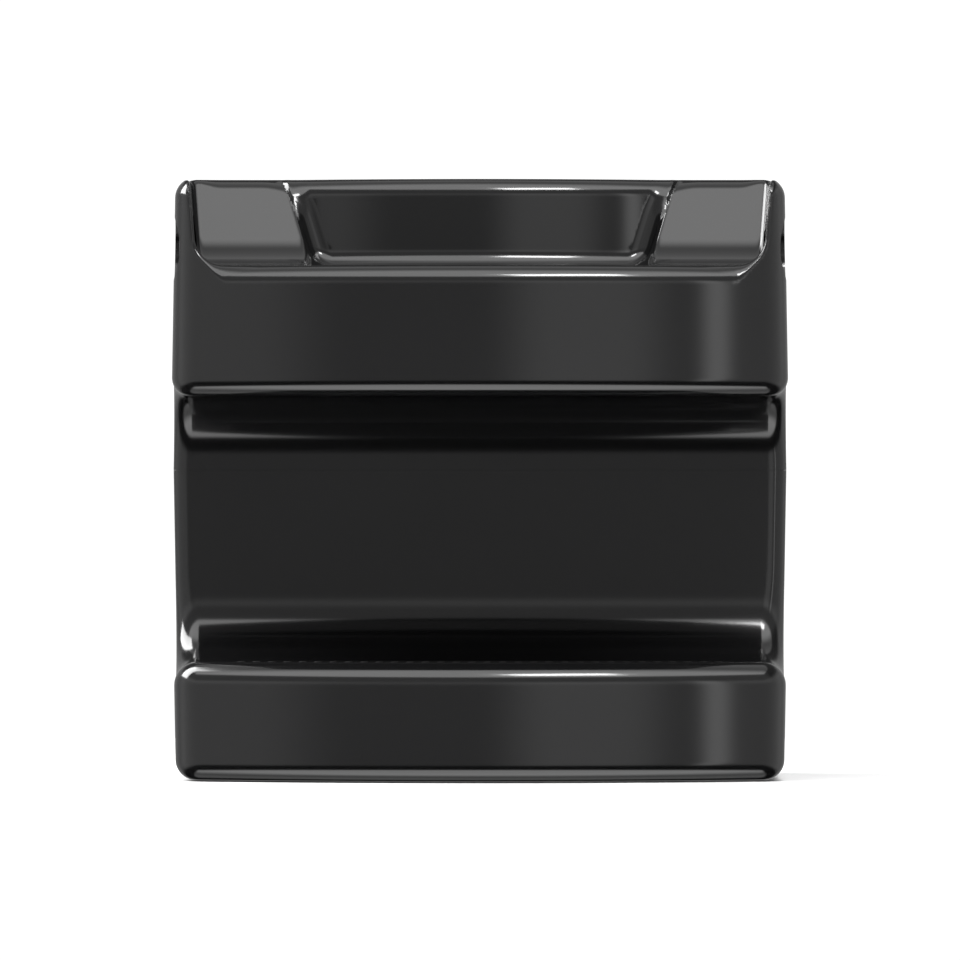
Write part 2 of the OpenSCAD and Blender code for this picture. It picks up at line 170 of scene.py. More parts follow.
def block_distance(points):
    """Signed distance, near enough, to the whole block's outer face. Negative is inside."""
    x, y, z = points[..., 0], points[..., 1], points[..., 2]
    side = (np.abs(x) - half_width + np.abs(z - joint_z) * math.tan(draft)) * math.cos(draft)
    bow = np.hypot(x, y - bow_y) - bow_radius
    plan = rolled(rolled(bow, side, front_corner_radius), y - back_y, corner_radius)
    hollow = filleted(channel_back - y, channel_roof - z, channel_radius)
    hollow = filleted(hollow, z - channel_floor, channel_radius)
    lip = channel_end_radius + (lip_radius - channel_end_radius) * step(-z, -lip_from_z, -lip_to_z)
    form = rolled(plan, hollow, lip)
    form = rolled(form, base_z - z, edge_radius)
    form = rolled(form, z - top_z, edge_radius)
    material, roll = scoop_material(x, y, z)
    return rolled(form, material, roll)


# The wall thins a little where its own edges are rolled, and a boss backs each ring
moulded_wall = wall * 0.93
boss_reach = 0.013


def cavity_distance(points):
    """The hollow inside the shells, kept clear of the bosses round the finger holes."""
    y, z = points[..., 1], points[..., 2]
    boss = np.hypot(y - finger_y, z - finger_z) - finger_radius - wall
    boss = np.maximum(boss, scoop_half - boss_reach - wall - np.abs(points[..., 0]))
    shell = np.maximum(block_distance(points) + moulded_wall, base_z + deck - z)
    return np.maximum(shell, -boss)


def gradient(distance, points):
    """Unit normals of a distance function."""
    out = np.empty_like(points)
    reach = 0.0002
    for axis in range(3):
        shift = np.zeros(3)
        shift[axis] = reach
        out[..., axis] = distance(points + shift) - distance(points - shift)
    return out / np.maximum(np.linalg.norm(out, axis=-1, keepdims=True), 1e-12)


def spaced(stretches):
    """Grid lines along one axis: each stretch is (from, to, largest step)."""
    lines = [np.linspace(a, b, int(math.ceil((b - a) / pitch)) + 1)[:-1] for a, b, pitch in stretches]
    return np.concatenate(lines + [[stretches[-1][1]]])


def skin(name, distance, lines):
    """Closed mesh over a distance function: one point in each grid cell that the face crosses."""
    counts = [len(line) for line in lines]
    grid = np.stack(np.meshgrid(*lines, indexing="ij"), axis=-1)
    value = distance(grid)
    inside = value < 0
    total = np.zeros([c - 1 for c in counts] + [3])
    hits = np.zeros([c - 1 for c in counts])
    corners = [(i, j, k) for i in (0, 1) for j in (0, 1) for k in (0, 1)]

    def block_at(array, corner):
        return array[tuple(slice(c, n - 1 + c) for c, n in zip(corner, counts))]

    for a in corners:
        for axis in range(3):
            if a[axis]:
                continue
            b = tuple(v + (i == axis) for i, v in enumerate(a))
            va, vb = block_at(value, a), block_at(value, b)
            crossed = block_at(inside, a) != block_at(inside, b)
            share = np.where(crossed, va / np.where(crossed, va - vb, 1.0), 0.0)
            share = share[..., None]
            place = block_at(grid, a) * (1.0 - share) + block_at(grid, b) * share
            total += place * crossed[..., None]
            hits += crossed
    used = hits > 0
    points = total[used] / hits[used][:, None]
    index = -np.ones(used.shape, dtype=np.int64)
    index[used] = np.arange(len(points))
    quads = []
    for axis in range(3):
        u, v = [(1, 2), (2, 0), (0, 1)][axis]
        first = [slice(1, n - 1) for n in counts]
        first[axis] = slice(0, counts[axis] - 1)
        second = list(first)
        second[axis] = slice(1, counts[axis])
        a, b = inside[tuple(first)], inside[tuple(second)]
        for flip, chosen in ((False, a & ~b), (True, ~a & b)):
            where = np.argwhere(chosen)
            where[:, u] += 1
            where[:, v] += 1
            ring = []
            for du, dv in ((1, 1), (0, 1), (0, 0), (1, 0)):
                cell = where.copy()
                cell[:, u] -= du
                cell[:, v] -= dv
                ring.append(index[cell[:, 0], cell[:, 1], cell[:, 2]])
            quads.append(np.stack(ring[::-1] if flip else ring, axis=1))
    for _ in range(4):
        points = points - gradient(distance, points) * distance(points)[:, None]
    mesh = bpy.data.meshes.new(name)
    mesh.from_pydata(points.tolist(), [], np.concatenate(quads).tolist())
    mesh.update()
    piece = bpy.data.objects.new(name, mesh)
    bpy.context.collection.objects.link(piece)
    return piece


# Fine grid lines across the cheeks, the scoop and the rolled edges, wide ones on flat faces
across = [(0.0, 0.108, 0.008), (0.108, 0.152, 0.0018), (0.152, 0.196, 0.0055),
          (0.196, half_width + 0.004, 0.0018)]
across = [(-b, -a, pitch) for a, b, pitch in reversed(across)] + across
deep = [(front_y - 0.004, front_y + 0.036, 0.0028), (front_y + 0.036, -0.028, 0.0022),
        (-0.028, 0.006, 0.0030), (0.006, 0.158, 0.0085), (0.158, back_y + 0.004, 0.0028)]
upright = [(base_z - 0.004, 0.018, 0.0022), (0.018, 0.066, 0.0080), (0.066, 0.146, 0.0028),
           (0.146, 0.228, 0.0090), (0.228, 0.304, 0.0028), (0.304, 0.366, 0.0075),
           (0.366, top_z + 0.004, 0.0018)]
block_skin = skin("block_skin", block_distance, [spaced(across), spaced(deep), spaced(upright)])
wide = [[(low, high, 0.007)] for low, high in ((-half_width, half_width), (front_y, back_y),
                                               (base_z, top_z))]
cavity_skin = skin("cavity_skin", cavity_distance, [spaced(line) for line in wide])


def prism(name, outline, low, high):
    """Closed upright prism on a plan outline that runs anticlockwise."""
    mesh = bpy.data.meshes.new(name)
    n = len(outline)
    verts = [(x, y, z) for z in (low, high) for x, y in outline]
    sides = [(i, (i + 1) % n, (i + 1) % n + n, i + n) for i in range(n)]
    mesh.from_pydata(verts, [], [tuple(range(n))[::-1], tuple(range(n, 2 * n))] + sides)
    piece = bpy.data.objects.new(name, mesh)
    bpy.context.collection.objects.link(piece)
    return piece


def arc(centre, radius, start, end, steps):
    """Points of an arc in plan, angles in degrees."""
    angles = np.radians(np.linspace(start, end, steps + 1))
    return [(centre[0] + radius * math.cos(t), centre[1] + radius * math.sin(t)) for t in angles]


def rounded_outline(low, high, radius):
    """Rectangle in plan with rounded corners."""
    ends = [(high[0], high[1], 0), (low[0], high[1], 90), (low[0], low[1], 180), (high[0], low[1], 270)]
    signs = {0: (-1, -1), 90: (1, -1), 180: (1, 1), 270: (-1, 1)}
    return [p for x, y, a in ends
            for p in arc((x + signs[a][0] * radius, y + signs[a][1] * radius), radius, a, a + 90, 10)]


def combine(piece, tool, operation):
    """Solid difference, union or intersection of a piece with a tool, which is then deleted."""
    modifier = piece.modifiers.new("solid", "BOOLEAN")
    modifier.operation = operation
    modifier.solver = "MANIFOLD"
    modifier.object = tool
    depsgraph = bpy.context.evaluated_depsgraph_get()
    result = bpy.data.meshes.new_from_object(piece.evaluated_get(depsgraph))
    piece.modifiers.remove(modifier)
    old, piece.data = piece.data, result
    bpy.data.meshes.remove(old)


def remove(piece):
    """Deletes a tool or a blank that has done its work."""
    bpy.data.objects.remove(piece, do_unlink=True)


# Each shell is the rounded solid less the hollow, on its own side of the joint
combine(block_skin, cavity_skin, "DIFFERENCE")
remove(cavity_skin)
seam_gap = 0.0001
square = [(-1.0, -1.0), (1.0, -1.0), (1.0, 1.0), (-1.0, 1.0)]


def half_shell(name, low, high):
    """The part of the rounded solid between two heights."""
    piece = bpy.data.objects.new(name, block_skin.data.copy())
    bpy.context.collection.objects.link(piece)
    side = prism("side", square, low, high)
    combine(piece, side, "INTERSECT")
    remove(side)
    return piece


lower_piece = half_shell("lower_moulding", -1.0, joint_z - seam_gap)
upper_piece = half_shell("upper_moulding", joint_z, 1.0)
remove(block_skin)

# Pockets for the treads, the base cover and the feet
fit = 0.0002
overcut = 0.010
top_corner = 0.012
cover_corner = 0.014
opening_corner = 0.004
top_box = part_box("top_tread")
cover_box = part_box("base_cover")
tread_depth = tread_box[1][2] - tread_box[0][2]
tread_inset = 0.010
tread_front_radius = bow_radius - edge_radius - tread_inset


def foothold_outline(larger):
    """Plan of the foothold tread, bowed in front, made larger all round by a distance."""
    half = tread_box[1][0] + larger
    back = tread_box[1][1] + larger
    radius = tread_front_radius + larger
    reach = math.degrees(math.asin(half / radius))
    return arc((0.0, bow_y), radius, 270 - reach, 270 + reach, 48) + [(half, back), (-half, back)]


def cut(piece, name, outline, low, high):
    """Cuts an upright prism out of a piece."""
    tool = prism(name, outline, low, high)
    combine(piece, tool, "DIFFERENCE")
    remove(tool)


top_outline = rounded_outline([top_box[0][0] - fit, top_box[0][1] - fit],
                              [top_box[1][0] + fit, top_box[1][1] + fit], top_corner + fit)
cut(upper_piece, "top_pocket", top_outline, top_z - tread_depth, top_z + overcut)
cut(lower_piece, "foothold_pocket", foothold_outline(fit), channel_floor - tread_depth,
    channel_floor + overcut)
cover_lap = 0.012
cut(lower_piece, "cover_rebate",
    rounded_outline([cover_box[0][0] - fit, cover_box[0][1] - fit],
                    [cover_box[1][0] + fit, cover_box[1][1] + fit], cover_corner + fit),
    base_z - overcut, cover_box[1][2] + fit)
cut(lower_piece, "base_opening",
    rounded_outline([cover_box[0][0] + cover_lap, cover_box[0][1] + cover_lap],
                    [cover_box[1][0] - cover_lap, cover_box[1][1] - cover_lap], opening_corner),
    base_z - overcut, base_z + deck + 0.004)
feet_low, feet_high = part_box("rubber_feet")
foot_radius = 0.016
foot_places = [(x, y) for x in (feet_low[0] + foot_radius, feet_high[0] - foot_radius)
               for y in (feet_low[1] + foot_radius, feet_high[1] - foot_radius)]
for place in foot_places:
    cut(lower_piece, "foot_pocket", arc(place, foot_radius + fit, 0, 354, 59), base_z - overcut,
        feet_high[2])


def finger_hole_tool(side):
    """Sideways cylinder that ends just through the slanted inner face of a cheek."""
    mesh = bpy.data.meshes.new("finger_hole")
    ring = [(math.cos(t), math.sin(t)) for t in np.linspace(0.0, 2.0 * math.pi, 96, endpoint=False)]
    verts = []
    for outer in (False, True):
        for c, d in ring:
            y, z = finger_y + finger_radius * c, finger_z + finger_radius * d
            inner_x = scoop_half - (top_z - z) * math.tan(scoop_slant) - 3 * fit
            verts.append((side * (half_width + overcut if outer else inner_x), y, z))
    n = len(ring)
    faces = [tuple(range(n)), tuple(range(n, 2 * n))[::-1]]
    faces += [((i + 1) % n, i, i + n, (i + 1) % n + n) for i in range(n)]
    if side > 0:
        faces = [face[::-1] for face in faces]
    mesh.from_pydata(verts, [], faces)
    tool = bpy.data.objects.new("finger_hole", mesh)
    bpy.context.collection.objects.link(tool)
    return tool


for side in (-1, 1):
    hole_tool = finger_hole_tool(side)
    combine(upper_piece, hole_tool, "DIFFERENCE")
    remove(hole_tool)


def smooth_shell(piece):
    """Shading normals from the form itself on its outer face, flat ones in pockets and joints."""
    mesh = piece.data
    for polygon in mesh.polygons:
        polygon.use_smooth = True
    count = len(mesh.loops)
    owner = np.empty(count, dtype=np.int64)
    mesh.loops.foreach_get("vertex_index", owner)
    places = np.empty(len(mesh.vertices) * 3)
    mesh.vertices.foreach_get("co", places)
    places = places.reshape(-1, 3)
    face_normals = np.empty(len(mesh.polygons) * 3)
    mesh.polygons.foreach_get("normal", face_normals)
    face_normals = face_normals.reshape(-1, 3)
    sizes = np.empty(len(mesh.polygons), dtype=np.int64)
    mesh.polygons.foreach_get("loop_total", sizes)
    face_of = np.repeat(np.arange(len(mesh.polygons)), sizes)
    form = gradient(block_distance, places)
    on_face = np.abs(block_distance(places)) < 0.0004
    normals = face_normals[face_of]
    agree = np.einsum("ij,ij->i", form[owner], normals)
    use = on_face[owner] & (agree > 0.7)
    normals[use] = form[owner][use]
    hidden = ~on_face[owner]
    hollow = -gradient(cavity_distance, places)
    along = np.einsum("ij,ij->i", hollow[owner], face_normals[face_of])
    on_hollow = (np.abs(cavity_distance(places)) < 0.0006)[owner] & hidden & (along > 0.8)
    normals[on_hollow] = hollow[owner][on_hollow]
    mesh.normals_split_custom_set(normals.tolist())


smooth_shell(lower_piece)
smooth_shell(upper_piece)


def value_node(tree, kind, **settings):
    """A new node of a tree, with its settings."""
    node = tree.nodes.new(kind)
    for key, value in settings.items():
        setattr(node, key, value)
    return node


def gloss_plastic():
    """Black gloss moulding: a hard shine over faint flow marks and a very fine skin texture."""
    material = bpy.data.materials.new("black_gloss_moulding")
    material.use_nodes = True
    tree = material.node_tree
    shader = tree.nodes["Principled BSDF"]
    shader.inputs["IOR"].default_value = 1.49
    place = value_node(tree, "ShaderNodeTexCoord")
    flow = value_node(tree, "ShaderNodeTexNoise")
    flow.inputs["Scale"].default_value = 7.0
    flow.inputs["Detail"].default_value = 3.0
    tree.links.new(place.outputs["Object"], flow.inputs["Vector"])
    tint = value_node(tree, "ShaderNodeValToRGB")
    tint.color_ramp.elements[0].color = (0.0036, 0.0036, 0.0038, 1)
    tint.color_ramp.elements[1].color = (0.0052, 0.0052, 0.0054, 1)
    tree.links.new(flow.outputs["Fac"], tint.inputs["Fac"])
    tree.links.new(tint.outputs["Color"], shader.inputs["Base Color"])
    haze = value_node(tree, "ShaderNodeMapRange")
    haze.inputs["To Min"].default_value = 0.115
    haze.inputs["To Max"].default_value = 0.145
    tree.links.new(flow.outputs["Fac"], haze.inputs["Value"])
    tree.links.new(haze.outputs["Result"], shader.inputs["Roughness"])
    grain = value_node(tree, "ShaderNodeTexNoise")
    grain.inputs["Scale"].default_value = 900.0
    tree.links.new(place.outputs["Object"], grain.inputs["Vector"])
    relief = value_node(tree, "ShaderNodeBump")
    relief.inputs["Strength"].default_value = 0.05
    relief.inputs["Distance"].default_value = 0.00005
    tree.links.new(grain.outputs["Fac"], relief.inputs["Height"])
    tree.links.new(relief.outputs["Normal"], shader.inputs["Normal"])
    return material


moulding = gloss_plastic()
for piece, node in ((lower_piece, "lower_shell"), (upper_piece, "upper_shell")):
    piece.data.materials.clear()
    piece.data.materials.append(moulding)
    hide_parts(node)
    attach(piece, "root")


# ---------------------------------------------------------------- joint gasket, pins and screws
# A flat rubber cord lies in a groove of the lower moulding, two plated pins line the
# mouldings up, and cap screws go up from inside into brass inserts in the upper one.


def finish(name, dark, light, roughness, grain, relief, metallic=0.0, shine=0.5,
           stretch=(1.0, 1.0, 1.0)):
    """Procedural finish: a patchy tint, an uneven polish and a fine relief."""
    material = bpy.data.materials.new(name)
    material.use_nodes = True
    tree = material.node_tree
    shader = tree.nodes["Principled BSDF"]
    shader.inputs["Metallic"].default_value = metallic
    shader.inputs["Specular IOR Level"].default_value = shine
    place = value_node(tree, "ShaderNodeTexCoord")
    turn_and_stretch = value_node(tree, "ShaderNodeMapping")
    turn_and_stretch.inputs["Scale"].default_value = stretch
    tree.links.new(place.outputs["Object"], turn_and_stretch.inputs["Vector"])
    patches = value_node(tree, "ShaderNodeTexNoise")
    patches.inputs["Scale"].default_value = 24.0
    patches.inputs["Detail"].default_value = 4.0
    tree.links.new(place.outputs["Object"], patches.inputs["Vector"])
    tint = value_node(tree, "ShaderNodeValToRGB")
    tint.color_ramp.elements[0].color = (*dark, 1)
    tint.color_ramp.elements[1].color = (*light, 1)
    tree.links.new(patches.outputs["Fac"], tint.inputs["Fac"])
    tree.links.new(tint.outputs["Color"], shader.inputs["Base Color"])
    polish = value_node(tree, "ShaderNodeMapRange")
    polish.inputs["To Min"].default_value, polish.inputs["To Max"].default_value = roughness
    tree.links.new(patches.outputs["Fac"], polish.inputs["Value"])
    tree.links.new(polish.outputs["Result"], shader.inputs["Roughness"])
    grains = value_node(tree, "ShaderNodeTexNoise")
    grains.inputs["Scale"].default_value = grain
    tree.links.new(turn_and_stretch.outputs["Vector"], grains.inputs["Vector"])
    bump = value_node(tree, "ShaderNodeBump")
    bump.inputs["Strength"].default_value = 0.4
    bump.inputs["Distance"].default_value = relief
    tree.links.new(grains.outputs["Fac"], bump.inputs["Height"])
    tree.links.new(bump.outputs["Normal"], shader.inputs["Normal"])
    return material


def give_finish(material, *names):
    """A finish for the shown surface of CAD nodes."""
    for name in names:
        for place in nodes[name].material_slots:
            place.link = "OBJECT"
            place.material = material


soft_rubber = finish("soft_black_rubber", (0.008, 0.008, 0.008), (0.014, 0.014, 0.014),
                     (0.50, 0.64), 700.0, 0.00012, shine=0.3)
plated_steel = finish("zinc_plated_steel", (0.50, 0.51, 0.53), (0.66, 0.67, 0.68), (0.26, 0.38),
                      900.0, 0.00004, metallic=1.0)
turned_brass = finish("turned_brass", (0.55, 0.40, 0.16), (0.68, 0.52, 0.24), (0.24, 0.34),
                      1200.0, 0.00003, metallic=1.0, stretch=(1.0, 1.0, 6.0))
give_finish(soft_rubber, "seam_gasket")
give_finish(plated_steel, "locating_pins", "shell_screws")
give_finish(turned_brass, "shell_inserts")


# ---------------------------------------------------------------- ribs and their tie rods
# Three grey moulded plates fill the hollow's section and carry the load to the ground.
# Four steel rods through drawn aluminium tubes clamp them, with a washer and nut each end.

grey_plate = finish("grey_moulded_plate", (0.13, 0.14, 0.15), (0.18, 0.19, 0.20), (0.42, 0.55),
                    420.0, 0.00010)
drawn_tube = finish("drawn_aluminium_tube", (0.66, 0.67, 0.68), (0.78, 0.79, 0.80), (0.28, 0.42),
                    1100.0, 0.00004, metallic=1.0, stretch=(0.08, 1.0, 1.0))
rolled_rod = finish("rolled_steel_rod", (0.46, 0.47, 0.49), (0.62, 0.63, 0.64), (0.28, 0.40),
                    1300.0, 0.00005, metallic=1.0, stretch=(3.0, 0.3, 0.3))
give_finish(grey_plate, "left_rib", "centre_rib", "right_rib")
give_finish(drawn_tube, "spacer_tubes")
give_finish(rolled_rod, "tie_rods")
give_finish(plated_steel, "tie_rod_washers", "tie_rod_nuts")


# ---------------------------------------------------------------- rubber treads
# Two moulded rubber mats lie flush in pockets, one on the top step and one on the
# channel floor. Rows of low round studs stand on a thinner base to grip a boot.

stud_height = 0.0009
stud_pitch = 0.0115
stud_radius = 0.0036
stud_margin = 0.009


def tread_mat(name, outline, low, high):
    """The mat under its studs: a plain upright plate."""
    piece = prism(name, outline, low, high - stud_height)
    piece.data.materials.append(tread_rubber)
    return piece


def stud_tree():
    """Rows of studs over a rectangle, left out beyond an arched front edge."""
    tree = bpy.data.node_groups.new("tread_studs", "GeometryNodeTree")
    face = tree.interface
    face.new_socket("Geometry", in_out="INPUT", socket_type="NodeSocketGeometry")
    for label in ("Width", "Depth", "Stud pitch", "Stud radius", "Stud height", "Middle Y", "Base Z",
                  "Arch centre Y", "Arch radius"):
        face.new_socket(label, in_out="INPUT", socket_type="NodeSocketFloat")
    face.new_socket("Finish", in_out="INPUT", socket_type="NodeSocketMaterial")
    face.new_socket("Geometry", in_out="OUTPUT", socket_type="NodeSocketGeometry")
    entry = tree.nodes.new("NodeGroupInput")
    leave = tree.nodes.new("NodeGroupOutput")

    def calc(operation, a, b):
        node = tree.nodes.new("ShaderNodeMath")
        node.operation = operation
        for place, source in enumerate((a, b)):
            if isinstance(source, (int, float)):
                node.inputs[place].default_value = source
            else:
                tree.links.new(source, node.inputs[place])
        return node.outputs[0]

    size = entry.outputs
    rows = tree.nodes.new("GeometryNodeMeshGrid")
    tree.links.new(size["Width"], rows.inputs["Size X"])
    tree.links.new(size["Depth"], rows.inputs["Size Y"])
    for axis, side in (("Vertices X", "Width"), ("Vertices Y", "Depth")):
        count = calc("ADD", calc("ROUND", calc("DIVIDE", size[side], size["Stud pitch"]), 0.0), 1.0)
        tree.links.new(count, rows.inputs[axis])
    shift = tree.nodes.new("ShaderNodeCombineXYZ")
    tree.links.new(size["Middle Y"], shift.inputs["Y"])
    tree.links.new(calc("ADD", size["Base Z"], calc("MULTIPLY", size["Stud height"], 0.5)),
                   shift.inputs["Z"])
    placed = tree.nodes.new("GeometryNodeSetPosition")
    tree.links.new(rows.outputs["Mesh"], placed.inputs["Geometry"])
    tree.links.new(shift.outputs[0], placed.inputs["Offset"])
    spot = tree.nodes.new("GeometryNodeInputPosition")
    apart = tree.nodes.new("ShaderNodeSeparateXYZ")
    tree.links.new(spot.outputs[0], apart.inputs[0])
    forward = calc("SUBTRACT", apart.outputs["Y"], size["Arch centre Y"])
    reach = calc("SQRT", calc("ADD", calc("MULTIPLY", apart.outputs["X"], apart.outputs["X"]),
                              calc("MULTIPLY", forward, forward)), 0.0)
    beyond = calc("GREATER_THAN", reach, size["Arch radius"])
    trimmed = tree.nodes.new("GeometryNodeDeleteGeometry")
    trimmed.domain = "POINT"
    tree.links.new(placed.outputs[0], trimmed.inputs["Geometry"])
    tree.links.new(beyond, trimmed.inputs["Selection"])
    stud = tree.nodes.new("GeometryNodeMeshCone")
    stud.inputs["Vertices"].default_value = 10
    tree.links.new(calc("MULTIPLY", size["Stud radius"], 0.72), stud.inputs["Radius Top"])
    tree.links.new(size["Stud radius"], stud.inputs["Radius Bottom"])
    tree.links.new(size["Stud height"], stud.inputs["Depth"])
    middle = tree.nodes.new("GeometryNodeTransform")
    tree.links.new(stud.outputs["Mesh"], middle.inputs["Geometry"])
    drop = tree.nodes.new("ShaderNodeCombineXYZ")
    tree.links.new(calc("MULTIPLY", size["Stud height"], -0.5), drop.inputs["Z"])
    tree.links.new(drop.outputs[0], middle.inputs["Translation"])
    spread = tree.nodes.new("GeometryNodeInstanceOnPoints")
    tree.links.new(trimmed.outputs[0], spread.inputs["Points"])
    tree.links.new(middle.outputs[0], spread.inputs["Instance"])
    made = tree.nodes.new("GeometryNodeRealizeInstances")
    tree.links.new(spread.outputs[0], made.inputs[0])
    whole = tree.nodes.new("GeometryNodeJoinGeometry")
    tree.links.new(made.outputs[0], whole.inputs[0])
    tree.links.new(size["Geometry"], whole.inputs[0])
    coated = tree.nodes.new("GeometryNodeSetMaterial")
    tree.links.new(whole.outputs[0], coated.inputs["Geometry"])
    tree.links.new(size["Finish"], coated.inputs["Material"])
    tree.links.new(coated.outputs[0], leave.inputs[0])
    return tree


def grow(piece, tree, values):
    """Runs a Geometry Nodes tree on a piece with named input values and keeps the plain mesh."""
    modifier = piece.modifiers.new("pattern", "NODES")
    modifier.node_group = tree
    for item in tree.interface.items_tree:
        if item.in_out == "INPUT" and item.name in values:
            modifier[item.identifier] = values[item.name]
    depsgraph = bpy.context.evaluated_depsgraph_get()
    result = bpy.data.meshes.new_from_object(piece.evaluated_get(depsgraph))
    piece.modifiers.remove(modifier)
    old, piece.data = piece.data, result
    bpy.data.meshes.remove(old)


def keep_piece(piece, slot, *replaced):
    """Puts a finished piece in the place of CAD nodes, on the block's one body."""
    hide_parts(*replaced)
    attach(piece, "root")


tread_rubber = finish("studded_black_rubber", (0.005, 0.005, 0.005), (0.009, 0.009, 0.009),
                      (0.55, 0.70), 620.0, 0.00015, shine=0.08)
studs = stud_tree()
no_arch = 10.0
top_mat = tread_mat("top_step_mat", rounded_outline(top_box[0][:2], top_box[1][:2], top_corner),
                    top_box[0][2], top_box[1][2])
foothold_mat = tread_mat("foothold_mat", foothold_outline(0.0), tread_box[0][2], tread_box[1][2])
for mat, box, arch in ((top_mat, top_box, no_arch), (foothold_mat, tread_box, tread_front_radius)):
    mat_width, mat_depth = (box[1][i] - box[0][i] - 2 * stud_margin for i in (0, 1))
    grow(mat, studs, {
        "Width": stud_pitch * round(mat_width / stud_pitch),
        "Depth": stud_pitch * round(mat_depth / stud_pitch),
        "Stud pitch": stud_pitch, "Stud radius": stud_radius, "Stud height": stud_height,
        "Middle Y": (box[0][1] + box[1][1]) / 2, "Base Z": box[1][2] - stud_height,
        "Arch centre Y": 0.0 if arch == no_arch else bow_y, "Arch radius": arch - stud_margin,
        "Finish": tread_rubber})
keep_piece(top_mat, "tread", "top_tread")
keep_piece(foothold_mat, "tread", "foothold_tread")


# ---------------------------------------------------------------- finger rings
# A soft rubber ring lines the finger hole in each cheek. It is moulded with rounded
# edges and held in the bore by its own squeeze.


sharp_angle = math.radians(38.0)


def turned(name, profile, centre, along, sides):
    """Ring or disc turned about an axis: the profile is a closed loop of (radius, height)."""
    mesh = bpy.data.meshes.new(name)
    verts, faces = [], []
    n = len(profile)
    for k in range(sides):
        c, d = math.cos(2 * math.pi * k / sides), math.sin(2 * math.pi * k / sides)
        for r, h in profile:
            spot = (h, r * c, r * d) if along == "x" else (r * c, r * d, h)
            verts.append(tuple(a + b for a, b in zip(centre, spot)))
    for k in range(sides):
        here, there = k * n, (k + 1) % sides * n
        faces += [(here + i, there + i, there + (i + 1) % n, here + (i + 1) % n) for i in range(n)]
    mesh.from_pydata(verts, [], faces)
    form = bmesh.new()
    form.from_mesh(mesh)
    bmesh.ops.remove_doubles(form, verts=form.verts, dist=1e-6)
    bmesh.ops.recalc_face_normals(form, faces=form.faces)
    form.to_mesh(mesh)
    form.free()
    mesh.shade_smooth()
    mesh.set_sharp_from_angle(angle=sharp_angle)
    piece = bpy.data.objects.new(name, mesh)
    bpy.context.collection.objects.link(piece)
    return piece


def round_section(inner, outer, low, high, radius, steps=5):
    """Rectangle in (radius, height) with rounded corners."""
    corners = [(outer - radius, high - radius, 0), (inner + radius, high - radius, 90),
               (inner + radius, low + radius, 180), (outer - radius, low + radius, 270)]
    return [(r + radius * math.cos(math.radians(a + 90 * i / steps)),
             h + radius * math.sin(math.radians(a + 90 * i / steps)))
            for r, h, a in corners for i in range(steps + 1)]


ring_wall = 0.004
ring_edge = 0.0014
for side_name, node in (("left", "left_finger_ring"), ("right", "right_finger_ring")):
    low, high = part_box(node)
    radius = (high[2] - low[2]) / 2
    section = round_section(radius - ring_wall, radius, low[0], high[0], ring_edge)
    middle = (0.0, (low[1] + high[1]) / 2, (low[2] + high[2]) / 2)
    ring = turned(side_name + "_ring", section, middle, "x", 72)
    ring.data.materials.append(soft_rubber)
    keep_piece(ring, "gasket", node)


# ---------------------------------------------------------------- base cover and its screws
# A grained plastic plate closes the opening that the mouldings are joined through.
# Countersunk plated screws with a cross recess hold it at ten places.

grained_plate = finish("grained_black_plate", (0.012, 0.012, 0.012), (0.022, 0.022, 0.022),
                       (0.44, 0.56), 1500.0, 0.00020)
give_finish(grained_plate, "base_cover")


def screw_blank(head_radius, shank_radius, length):
    """Countersunk screw, head down, with a cross recess cut in its face."""
    blank = turned("screw_blank", [
        (0.0, 0.0), (head_radius - 0.0002, 0.0), (head_radius, 0.0002), (shank_radius, 0.002),
        (shank_radius, length - 0.0005), (shank_radius - 0.0005, length), (0.0, length)],
        (0.0, 0.0, 0.0), "z", 24)
    for across_x, across_y in ((0.0023, 0.00045), (0.00045, 0.0023)):
        slot_tool = prism("recess", [(-across_x, -across_y), (across_x, -across_y),
                                     (across_x, across_y), (-across_x, across_y)], -0.001, 0.0012)
        combine(blank, slot_tool, "DIFFERENCE")
        remove(slot_tool)
    blank.data.shade_smooth()
    blank.data.set_sharp_from_angle(angle=sharp_angle)
    return blank


